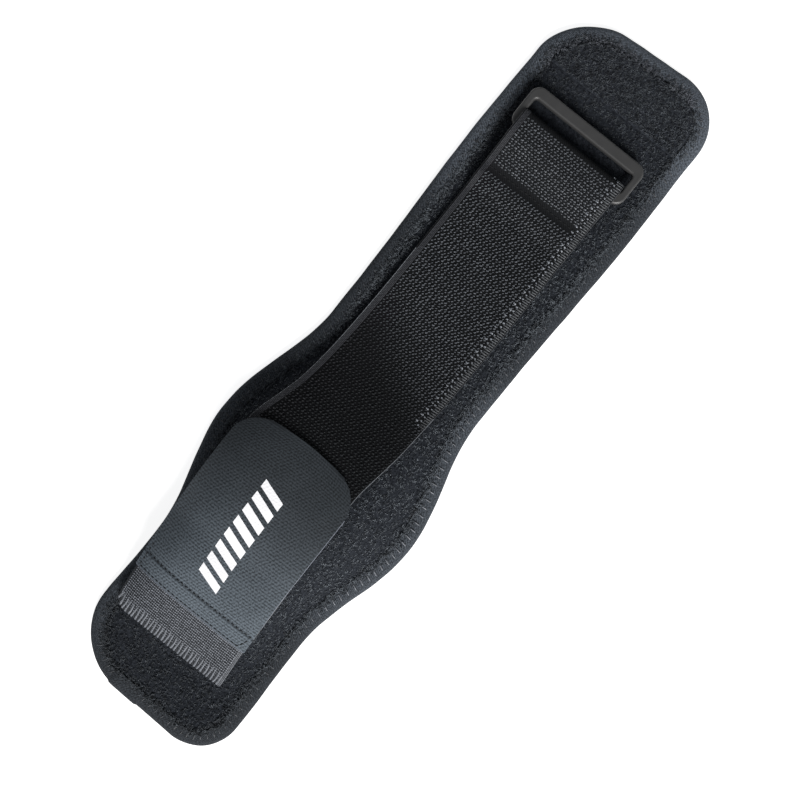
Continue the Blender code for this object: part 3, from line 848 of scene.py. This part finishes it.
def padPlaces(side, look=curlLook):
    random = np.random.default_rng(31)
    half = padShape["length"] / 2
    places = hexPlaces((-half, -50 * mm), (half, 50 * mm), look["spacing"], random)
    places = places[insideOutline(places, (edge + inward * look["edgeRoom"])[::4])]
    x, y = places.T
    middle, strapReach = strapLine(x)
    coveredOrShaded = (np.abs(y - middle) < strapReach - 0.8 * mm) & (x > look["strapFrom"]) & (x < look["strapTo"])
    coveredOrShaded |= (np.abs(y - tabMiddle(x)) < tabHalf(x) - 1.5 * mm) & (x > look["tabFrom"]) & (x < look["tabTo"])
    coveredOrShaded |= x > patchLook["startX"] - 0.5 * mm
    # no curls from the strap's end to x 131 mm across the ring: under the ring, and in its open slot as painted shade,
    # so the pad shows dark there
    coveredOrShaded |= (x > look["strapTo"]) & (x < look["ringTo"]) & (np.abs(y - strapShape["side"]) < look["ringHalf"])
    thin = random.uniform(0, 1, len(x)) < 0.72 + 0.5 * ripple(x, y, look["clumps"], 17)
    wanted = (y < 0) if side < 0 else (y >= 0)
    return places[~coveredOrShaded & thin & wanted]


# Binding

bindingLook = {**inMm(width=7, height=4.8, tape=0.8, edgeHeight=1.9, pucker=0.28, stitchPitch=3.6, stitchOut=2.6,
                      stitchIn=5.0, thread=0.24), "underShare": 0.35, "profile": 26, "round": 2.3}


def bindingProfile(share, look=bindingLook):  # middle of the tape, from the underside's inner edge to the top's
    low, reach = look["tape"] / 2, look["width"] - look["tape"] / 2
    under = np.clip(share / look["underShare"], 0, 1)
    over = np.clip((share - look["underShare"]) / (1 - look["underShare"]), 0, 1)
    rise = look["edgeHeight"] - low
    turn = under * math.pi / 2
    lowDistance = look["width"] - reach * np.sin(turn) ** 0.7
    lowHeight = low + rise * (1 - np.cos(turn) ** 0.5) * under**3
    arch = over * math.pi / 2
    highDistance = look["width"] - reach * np.cos(arch)
    highHeight = look["edgeHeight"] + (look["height"] - low - look["edgeHeight"]) * np.sin(arch)
    first = share < look["underShare"]
    return np.where(first, lowDistance, highDistance), np.where(first, lowHeight, highHeight)


def tapeTop(distance, look=bindingLook):  # height of the tape's upper face, this far in from the edge
    low = look["tape"] / 2
    away = (look["width"] - distance) / (look["width"] - low)
    return look["edgeHeight"] + (look["height"] - low - look["edgeHeight"]) * np.sqrt(np.clip(1 - away**2, 0, 1)) + low


def makeBinding(look=bindingLook):
    joint = edgeLengthAt(-174 * mm, 8 * mm)

    def place(u, v):
        distance, height = bindingProfile(v)
        length = u * edgeAround
        top = eased((v - 0.62) / 0.1)
        stitch = np.cos(2 * math.pi * length / look["stitchPitch"])
        band = np.exp(-((distance - look["stitchIn"]) / (1.3 * mm)) ** 2)
        out = np.exp(-((distance - look["stitchOut"]) / (1.2 * mm)) ** 2)
        height = height - look["pucker"] * top * (band * (0.6 + 0.4 * stitch) + out * (0.25 - 0.25 * stitch))
        x, y = onEdge(length, distance, height)[..., :2].T
        height = height + top * 0.12 * mm * ripple(x, y, 11 * mm, 3)
        swell = 0.12 * mm * ripple(x, y, 17 * mm, 9) * (1 - eased(distance / (3 * mm)))
        lapped = eased((8 * mm - np.abs(length - joint)) / (1.2 * mm))  # where the tape's ends lie over each other
        height = height + 0.4 * mm * lapped * eased((v - 0.4) / 0.1)
        swell = swell - 0.5 * mm * lapped * (1 - eased(distance / (4 * mm)))
        return onEdge(length, distance + swell, height)

    piece = gridPiece("bindingTape", 660, look["profile"], place, (edgeAround, look["round"] * look["width"]))
    weld(piece)
    thicken(piece, look["tape"])
    smoothShade(piece, 60)
    return piece


def makeBindingStitches(look=bindingLook):  # a slanted stitch that runs in and out over the tape's inner edge
    count = int(edgeAround / look["stitchPitch"])
    pitch = edgeAround / count
    random = np.random.default_rng(4)
    runs = []
    share = np.array([0, 0.1, 0.3, 0.5, 0.7, 0.9, 1.0])
    arch = np.array([-0.35, 0.1, 0.22, 0.26, 0.2, 0.02, -0.4]) * mm
    for i in range(count):
        start = i * pitch + random.normal(0, 0.12 * mm)
        slant = pitch * 0.17 + random.normal(0, 0.1 * mm)
        inside = look["stitchIn"] + 0.55 * mm + random.normal(0, 0.1 * mm)
        distance = look["stitchOut"] + (inside - look["stitchOut"]) * share
        x, y, _ = onEdge(start, 0, 0)  # the thread lies on top of the cloth along the bulge, elsewhere it sinks in
        shown = eased(-y / (34 * mm)) * eased((x + 108 * mm) / (36 * mm)) * eased((58 * mm - x) / (74 * mm))
        runs.append(onEdge(start + slant * share, distance, tapeTop(distance) + arch - 0.42 * mm * (1 - shown)))
    return threads("bindingStitches", runs, look["thread"], sides=6)


bindingPiece = settle(makeBinding(), twillMaterial("tape", tapeLook, "UV"), ["edge_binding"])
# painted light and shade: the binding's stitches keep their light colour on the lit -Y side of the bulge and are
# darkened elsewhere and at the tail
stitchShade = [((-0.5, -0.87, 0), 0.0, 62 * mm, 0.3), ((1, 0, 0), -118 * mm, -84 * mm, 0.3)]
stitchThread = threadMaterial("stitch thread", (0.065, 0.069, 0.077), (0.21, 0.223, 0.247), 0.4, 0.15,
                              fades=stitchShade)
settle(makeBindingStitches(), stitchThread)
print("binding")


# End patch

patchLook = {**inMm(startX=143.9, inset=8.0, low=5.25, thickness=0.95), "rows": 18,
             "rim": ((0.9, 0), (0.3, 0), (0, 0.15), (0, 0.55), (0.02, 0.85), (0.05, 1))}  # share inward, height


def makePatch(look=patchLook):
    bounds = edge + inward * look["inset"]
    kept = bounds[bounds[:, 0] > look["startX"]]
    first = np.argmax(np.linalg.norm(np.roll(kept, 1, 0) - kept, axis=1))
    kept = np.roll(kept, -first, 0)
    corner = [[look["startX"], kept[-1][1]], [look["startX"], kept[0][1]]]
    outline = evenly(np.concatenate([kept, corner]), 260)
    middle = np.array([look["startX"] + 10 * mm, 0])
    rows = []
    for share, height in look["rim"] + tuple((s, 1) for s in np.linspace(0.1, 1, look["rows"])):
        flat = outline + (middle - outline) * np.minimum(share, 0.995)
        z = look["low"] + look["thickness"] * height + 0.05 * mm * ripple(*flat.T, 9 * mm, 8)
        rows.append(np.stack([*flat.T, z], axis=1))
    return loftPiece("patchBody", np.array(rows))


patchPiece = settle(makePatch(), pileMaterial("patch pile", pileLook, 1.1), ["end_patch"])
print("patch")


# Ring

ringLook = {**inMm(grain=0.35, patch=5, edge=0.9, bar=5.3, side=3.4, outerCorner=4.6, innerCorner=1.4),
            "dark": (0.026, 0.026, 0.0262), "light": (0.038, 0.038, 0.0385), "roughness": 0.42, "shine": 0.5}


def plasticMaterial(look=ringLook):
    material, tree, shader = newMaterial("ring plastic")
    colour = mixColour(tree, noise(tree, look["patch"]), look["dark"], look["light"])
    fill(tree, shader, Roughness=look["roughness"], Specular_IOR_Level=look["shine"], Base_Color=colour)
    bump(tree, shader, noise(tree, look["grain"]), 0.02 * mm)
    return material


def roundedOutline(halfX, halfY, radius, middle):
    points = []
    for sideX, sideY, angle in ((1, -1, -90), (1, 1, 0), (-1, 1, 90), (-1, -1, 180)):
        turns = np.radians(angle + np.linspace(0, 90, 14))
        corner = np.array([middle[0] + sideX * (halfX - radius), middle[1] + sideY * (halfY - radius)])
        points.append(corner + radius * np.stack([np.cos(turns), np.sin(turns)], axis=1))
    return np.concatenate(points)


def makeRing(look=ringLook):  # a flat plate with a slot and rounded edges
    low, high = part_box("ring")
    middle, half, rim = (low + high) / 2, (high - low) / 2, look["edge"]
    curve = bpy.data.curves.new("ringPlate", "CURVE")
    curve.dimensions = "2D"
    curve.fill_mode = "BOTH"
    curve.extrude = half.z - rim
    curve.bevel_depth = rim
    curve.bevel_resolution = 3
    outer = roundedOutline(half.x - rim, half.y - rim, look["outerCorner"] - rim, middle)
    inner = roundedOutline(half.x - look["bar"] + rim, half.y - look["side"] + rim, look["innerCorner"] + rim, middle)
    for outline in (outer, inner):
        addRun(curve, np.pad(outline, ((0, 0), (0, 1))), closed=True)
    piece = asMesh("ringPlate", curve, middle.z)
    bpy.ops.object.transform_apply(location=True, rotation=True, scale=True)
    smoothShade(piece, 35)
    return piece


ringPiece = settle(makeRing(), plasticMaterial(), ["ring"])
print("ring")


# Hook tab

tabShape = {**inMm(startX=-125.2, length=82.7, width=58.4, thickness=1.5, corner=14, hemCorner=0.4, step=24,
                   hemWidth=57.2, bow=1.6, low=2.6, high=4.9, hemLength=7.2, hemRise=0.55, side=0.9, hemDrift=6.1,
                   drift=8.6, flare=45),
            "drape": 0.8, "line": ((0.0, 0.0), (0.34, 0.8), (0.75, 1.0), (1.0, 1.0))}


def tabMiddle(x, shape=tabShape):
    share = through(shape["line"], (x - shape["startX"]) / shape["length"])[0]
    return shape["side"] + shape["hemDrift"] + (shape["drift"] - shape["hemDrift"]) * share


def rounding(along, radius):  # what a rounded corner takes off, this far from the end
    left = radius - np.clip(along, 0, radius)
    return radius - np.sqrt(radius**2 - left**2)


def tabHalf(x, shape=tabShape):
    cuts = (rounding(x - shape["startX"], shape["hemCorner"]),
            rounding(shape["startX"] + shape["length"] - x, shape["corner"]))
    flare = eased((x - shape["startX"]) / shape["flare"])
    return (shape["hemWidth"] + (shape["width"] - shape["hemWidth"]) * flare) / 2 - cuts[0] - cuts[1]


def tabHeight(x, y, shape=tabShape):  # of the tab's lower face
    bed = padTop(x, y * shape["drape"])
    return bed + shape["high"] + (shape["low"] - shape["high"]) * eased(
        (x - strapShape["returnX"] - 0.3 * mm) / shape["step"])


def tabWave(x, y, shape=tabShape):  # what the cloth does by itself: soft waves across, and the hem
    run = x - shape["startX"]
    hem = shape["hemRise"] * eased((shape["hemLength"] - run) / (0.9 * mm))
    dips = -0.22 * np.exp(-((x + 96 * mm + 0.12 * (y - 10 * mm)) / (5 * mm)) ** 2)
    dips = dips - 0.1 * np.exp(-((x + 72 * mm - 0.1 * (y - 10 * mm)) / (6 * mm)) ** 2)
    fade = eased((run - 9 * mm) / (8 * mm)) * eased((shape["length"] - run) / (12 * mm))
    return hem + mm * dips * fade + 0.08 * mm * ripple(x, y, 14 * mm, 12) * fade


def onTab(x, across, lift=0.0, shape=tabShape):  # across from -1 to 1
    x, across, lift = together(x, across, lift)
    y = tabMiddle(x) + tabHalf(x) * across
    z = tabHeight(x, y) + shape["thickness"] + tabWave(x, y) + lift
    bow = shape["bow"] * across**2 * eased((x - shape["startX"] - 50 * mm) / (30 * mm))
    return np.stack([x - bow, y, z], axis=-1)


def makeTab(shape=tabShape):
    def place(u, v):
        bent = u - 0.014 * np.sin(2 * math.pi * u)
        return onTab(shape["startX"] + shape["length"] * bent, v * 2 - 1, -shape["thickness"] / 2)

    piece = gridPiece("tabCloth", 150, 90, place, (shape["length"], shape["width"]))
    thicken(piece, shape["thickness"] * 0.9)
    smoothShade(piece, 60)
    return piece


def makeTabStitches(shape=tabShape):  # the seam that holds the tab to the strap's end, dashed
    low, high = -1 + 2 * 2.3 * mm / shape["hemWidth"], 1 - 2 * 1.6 * mm / shape["hemWidth"]
    start, hem = shape["startX"], shape["hemLength"]
    far = start + hem - 0.1 * mm
    near = start + 0.9 * mm
    turn = np.linspace(0, math.pi / 2, 12)
    lowLine = [(near, high), (near, low + 0.12)]
    lowLine += list(zip(near + (far - near) * np.sin(turn) ** 2, low + 0.12 * (1 - np.sin(turn)) - 0.04))
    seams = [lowLine, [(far, low - 0.06), (far, high + 0.03)], [(near, high), (start + 13 * mm, high + 0.005)]]
    runs = []
    for corners in seams:
        corners = np.array(corners)
        lengths = distances(onTab(corners[:, 0], corners[:, 1]))
        for place in np.arange(0.3 * mm, lengths[-1] - 1.6 * mm, 2.2 * mm):
            at = place + 1.5 * mm * np.linspace(0, 1, 5)
            x, across = (np.interp(at, lengths, corners[:, i]) for i in (0, 1))
            runs.append(onTab(x, across, np.array([-0.25, 0.02, 0.08, 0.02, -0.25]) * mm))
    return threads("tabStitches", runs, 0.22 * mm, sides=6)


def makeTabEdge(shape=tabShape):  # the folded edge of the hem, and a little of the side
    across = np.linspace(-0.99, 0.995, 60)
    hem = onTab(np.full(60, shape["startX"] + 0.2 * mm), across, -0.2 * mm)
    x = shape["startX"] + np.linspace(0.3, 32, 50) * mm
    side = onTab(x, np.full(50, 0.998), -0.2 * mm - 0.3 * mm * np.linspace(0, 1, 50))
    x = np.linspace(-112 * mm, -56 * mm, 70)
    lower = onTab(x, np.full(70, -1.004), -0.8 * shape["thickness"])
    return threads("tabEdge", [hem, side, lower], 0.24 * mm, sides=6)


# painted shade: the tab's colour darkens from the hem towards its rounded end, down to 0.3, as the cloth turns away
# from the light
tabLook = {"dark": (0.0197, 0.0238, 0.0282), "light": (0.114, 0.137, 0.16), "roughness": 0.72, "sheen": 0.05,
           **inMm(pitch=1.2, grain=0.7, patch=10, depth=0.12), "cross": (1.4 * mm, math.radians(-58)),
           "parts": (0.18, 0.12, 0.9), "spread": (0.44, 0.78), "fades": [((-1, 0, 0), 58 * mm, 124 * mm, 0.3)]}
printLook = {**inMm(start=15.5, end=60.5, low=23.2, high=34.6, pitch=5.7), "bar": 0.62, "slant": 0.32,
             "ink": (0.8, 0.8, 0.82)}


def tabMaterial(look=tabLook, mark=printLook):  # woven cloth with a plain row of slanted printed bars
    material = twillMaterial("tab weave", look, "UV", 0.0)
    tree = material.node_tree
    shader = tree.nodes["Principled BSDF"]
    cloth = shader.inputs["Base Color"].links[0].from_socket
    split = addNode(tree, "ShaderNodeSeparateXYZ")
    feed(tree, split.inputs[0], addNode(tree, "ShaderNodeTexCoord").outputs["UV"])
    along, up = split.outputs["X"], split.outputs["Y"]
    along = joinMath(tree, "SUBTRACT", along, joinMath(tree, "MULTIPLY", up, mark["slant"]))
    shift = mark["slant"] * (mark["low"] + mark["high"]) / 2
    turns = joinMath(tree, "DIVIDE", joinMath(tree, "SUBTRACT", along, mark["start"] - shift), mark["pitch"])
    inside = joinMath(tree, "LESS_THAN", joinMath(tree, "FRACT", turns), mark["bar"])
    for operation, value, limit in (("GREATER_THAN", up, mark["low"]), ("LESS_THAN", up, mark["high"]),
                                    ("GREATER_THAN", turns, 0.0),
                                    ("LESS_THAN", turns, (mark["end"] - mark["start"]) / mark["pitch"])):
        inside = joinMath(tree, "MULTIPLY", inside, joinMath(tree, operation, value, limit))
    fill(tree, shader, Base_Color=mixColour(tree, inside, cloth, mark["ink"]))
    return material


tabPiece = settle(makeTab(), tabMaterial(), ["hook_tab"])
tabThread = threadMaterial("tab thread", (0.004, 0.0045, 0.006), (0.014, 0.015, 0.018), sheen=0.02)
settle(makeTabStitches(), tabThread)
hemThread = threadMaterial("hem fold", (0.09, 0.099, 0.122), (0.16, 0.175, 0.21), sheen=0.02)
settle(makeTabEdge(), hemThread)
print("tab")


# Loose loops of the pile, on the pad and on the patch

curlShade = [((0, -1, 0), -30 * mm, 24 * mm, 0.78), ((1, 0, 0), -160 * mm, -96 * mm, 0.6),
             ((-1, 0, 0), -140 * mm, -70 * mm, 0.6)]
curlThread = threadMaterial("curl thread", (0.013, 0.0149, 0.0182), (0.129, 0.146, 0.165), 0.6, size=1.8 * mm,
                            fades=curlShade)
rimThread = threadMaterial("rim thread", (0.04, 0.043, 0.05), (0.135, 0.146, 0.17), 0.55)
patchTop = patchLook["low"] + patchLook["thickness"]


def fuzzPlaces(width=4.6 * mm, spacing=1.0 * mm, farIn=8.8 * mm, reach=5 * mm):  # over the tape's inner edge
    random = np.random.default_rng(77)
    count = int(edgeAround * width / spacing**2)
    return np.stack([random.uniform(0, edgeAround, count), farIn - reach * random.beta(1.2, 1.7, count)], axis=1)


def fuzzSurface(length, distance):
    return onEdge(length, distance, tapeTop(distance) + 0.1 * mm)


def patchPlaces():
    random = np.random.default_rng(52)
    places = hexPlaces((patchLook["startX"] + 0.7 * mm, -40 * mm), (175 * mm, 40 * mm), 0.95 * mm, random)
    return places[insideOutline(places, (edge + inward * (patchLook["inset"] + 0.1 * mm))[::4])]


def patchSurface(x, y):
    return np.stack([x, y, np.full(np.shape(x), patchTop)], axis=-1)


def rimPlaces(count=420):  # round the patch, just inside the tape
    random = np.random.default_rng(53)
    length = random.uniform(edgeLengthAt(166 * mm, -24 * mm), edgeLengthAt(140 * mm, 39.5 * mm), count)
    return np.stack([length, 7.0 * mm + random.normal(0, 0.9 * mm, count)], axis=1)


def rimSurface(length, distance):  # down from the patch on to the tape
    return onEdge(length, distance, np.where(distance < 7.8 * mm, tapeTop(distance) + 0.2 * mm, patchTop))


for name, places, surface, seed, slotName, thread in (
        ("padCurlsLow", padPlaces(-1), padSurface, 40, "pad_cloth", curlThread),
        ("padCurlsHigh", padPlaces(1), padSurface, 42, "pad_cloth", curlThread),
        ("edgeCurls", fuzzPlaces(), fuzzSurface, 71, "pad_cloth", curlThread),
        ("patchCurls", patchPlaces(), patchSurface, 61, "patch_loop", curlThread),
        ("rimCurls", rimPlaces(), rimSurface, 59, "patch_loop", rimThread)):
    settle(makeCurls(name, places, surface, seed), thread)
print("curls")
